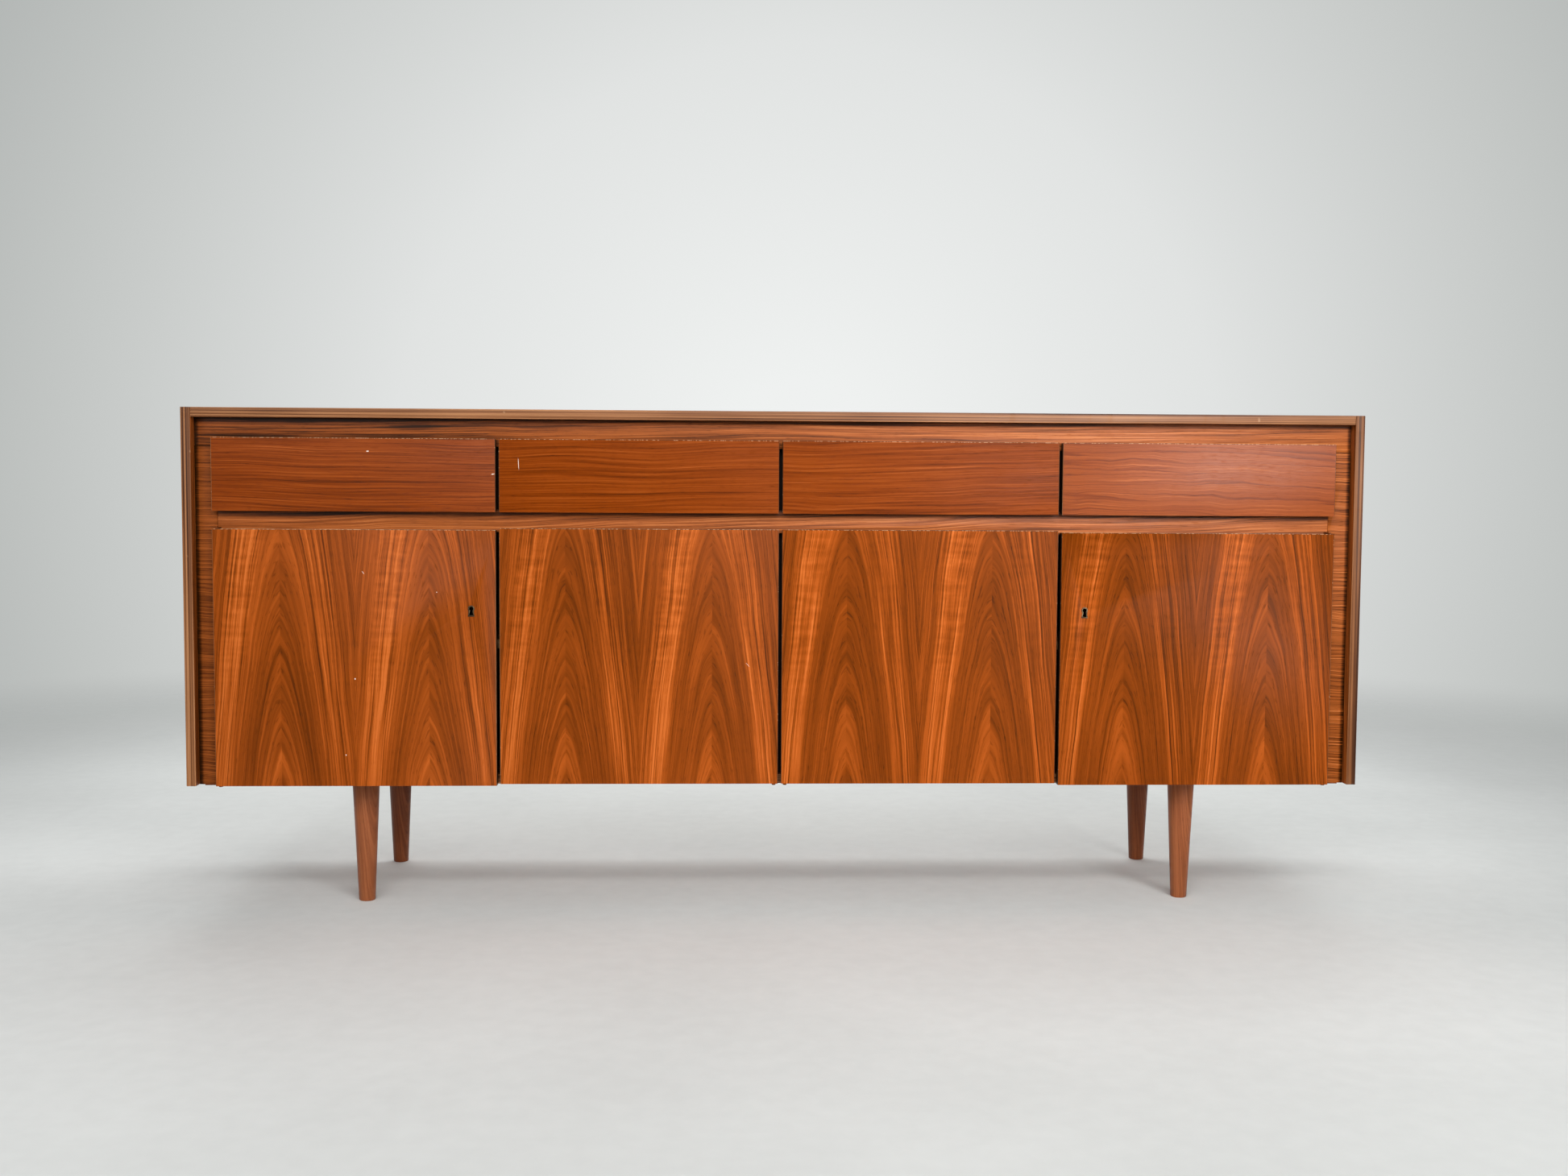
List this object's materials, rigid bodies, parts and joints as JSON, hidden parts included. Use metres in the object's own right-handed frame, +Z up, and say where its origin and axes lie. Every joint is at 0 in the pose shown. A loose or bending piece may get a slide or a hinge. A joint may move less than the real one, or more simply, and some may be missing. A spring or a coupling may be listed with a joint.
{
  "type": "sideboard buffet",
  "caption": "Long low veneered sideboard on turned tapered legs, with a row of drawers over two cupboards closed by pairs of lockable doors.",
  "frame": {"origin": "on the floor under the middle of the case", "axes": "+X along the front to the viewer's right, +Y from the fronts to the back, +Z up"},
  "size_m": [2, 0.46, 0.854],
  "materials": {
    "walnut_veneer": "satin",
    "leg_wood": "satin",
    "inner_wood": "matte",
    "back_board": "matte",
    "dark_steel": "satin",
    "brass": "satin"
  },
  "bodies": {
    "case": {"top_panel": "walnut_veneer", "bottom_panel": "walnut_veneer", "left_side_panel": "walnut_veneer", "right_side_panel": "walnut_veneer", "upper_rail": "walnut_veneer", "middle_rail": "walnut_veneer", "left_stile": "walnut_veneer", "right_stile": "walnut_veneer", "centre_partition": "inner_wood", "left_dust_panel": "inner_wood", "left_drawer_divider": "inner_wood", "left_drawer_guide": "inner_wood", "left_cupboard_shelf": "inner_wood", "right_dust_panel": "inner_wood", "right_drawer_divider": "inner_wood", "right_drawer_guide": "inner_wood", "right_cupboard_shelf": "inner_wood", "left_back_panel": "back_board", "right_back_panel": "back_board", "left_upper_pivot_iron": "dark_steel", "left_lower_pivot_iron": "dark_steel", "centre_upper_pivot_iron": "dark_steel", "centre_lower_pivot_iron": "dark_steel", "right_upper_pivot_iron": "dark_steel", "right_lower_pivot_iron": "dark_steel", "front_left_leg": "leg_wood", "front_left_leg_plate": "dark_steel", "front_right_leg": "leg_wood", "front_right_leg_plate": "dark_steel", "back_left_leg": "leg_wood", "back_left_leg_plate": "dark_steel", "back_right_leg": "leg_wood", "back_right_leg_plate": "dark_steel"},
    "outer_left_drawer": {"outer_left_drawer_front": "walnut_veneer", "outer_left_drawer_box": "inner_wood", "outer_left_drawer_bottom": "inner_wood"},
    "inner_left_drawer": {"inner_left_drawer_front": "walnut_veneer", "inner_left_drawer_box": "inner_wood", "inner_left_drawer_bottom": "inner_wood"},
    "outer_right_drawer": {"outer_right_drawer_front": "walnut_veneer", "outer_right_drawer_box": "inner_wood", "outer_right_drawer_bottom": "inner_wood"},
    "inner_right_drawer": {"inner_right_drawer_front": "walnut_veneer", "inner_right_drawer_box": "inner_wood", "inner_right_drawer_bottom": "inner_wood"},
    "outer_left_door": {"outer_left_door": "walnut_veneer", "outer_left_keyhole_rim": "brass", "outer_left_lock_case": "dark_steel"},
    "outer_left_lock_bolt": {"outer_left_lock_bolt": "brass"},
    "inner_left_door": {"inner_left_door": "walnut_veneer", "inner_left_bolt_housing": "dark_steel"},
    "inner_left_door_bolt": {"inner_left_door_bolt": "brass"},
    "outer_right_door": {"outer_right_door": "walnut_veneer", "outer_right_keyhole_rim": "brass", "outer_right_lock_case": "dark_steel"},
    "outer_right_lock_bolt": {"outer_right_lock_bolt": "brass"},
    "inner_right_door": {"inner_right_door": "walnut_veneer", "inner_right_bolt_housing": "dark_steel"},
    "inner_right_door_bolt": {"inner_right_door_bolt": "brass"}
  },
  "joints": [
    {"name": "outer_left_drawer_slide", "type": "slide", "parent": "case", "child": "outer_left_drawer", "axis": [0, -1, 0], "range_m": [0, 0.3]},
    {"name": "inner_left_drawer_slide", "type": "slide", "parent": "case", "child": "inner_left_drawer", "axis": [0, -1, 0], "range_m": [0, 0.3]},
    {"name": "outer_right_drawer_slide", "type": "slide", "parent": "case", "child": "outer_right_drawer", "axis": [0, -1, 0], "range_m": [0, 0.3]},
    {"name": "inner_right_drawer_slide", "type": "slide", "parent": "case", "child": "inner_right_drawer", "axis": [0, -1, 0], "range_m": [0, 0.3]},
    {"name": "outer_left_door_hinge", "type": "hinge", "parent": "case", "child": "outer_left_door", "pos_m": [-0.9445, -0.224, 0.434], "axis": [0, 0, -1], "range_deg": [0, 150]},
    {"name": "outer_left_lock_bolt_slide", "type": "slide", "parent": "outer_left_door", "child": "outer_left_lock_bolt", "axis": [1, 0, 0], "range_m": [0, 0.012]},
    {"name": "inner_left_door_hinge", "type": "hinge", "parent": "case", "child": "inner_left_door", "pos_m": [-0.0095, -0.224, 0.437], "axis": [0, 0, 1], "range_deg": [0, 90]},
    {"name": "inner_left_door_bolt_slide", "type": "slide", "parent": "inner_left_door", "child": "inner_left_door_bolt", "axis": [0, 0, 1], "range_m": [0, 0.012]},
    {"name": "outer_right_door_hinge", "type": "hinge", "parent": "case", "child": "outer_right_door", "pos_m": [0.9445, -0.224, 0.434], "axis": [0, 0, 1], "range_deg": [0, 150]},
    {"name": "outer_right_lock_bolt_slide", "type": "slide", "parent": "outer_right_door", "child": "outer_right_lock_bolt", "axis": [-1, 0, 0], "range_m": [0, 0.012]},
    {"name": "inner_right_door_hinge", "type": "hinge", "parent": "case", "child": "inner_right_door", "pos_m": [0.0095, -0.224, 0.437], "axis": [0, 0, -1], "range_deg": [0, 90]},
    {"name": "inner_right_door_bolt_slide", "type": "slide", "parent": "inner_right_door", "child": "inner_right_door_bolt", "axis": [0, 0, 1], "range_m": [0, 0.012]}
  ]
}
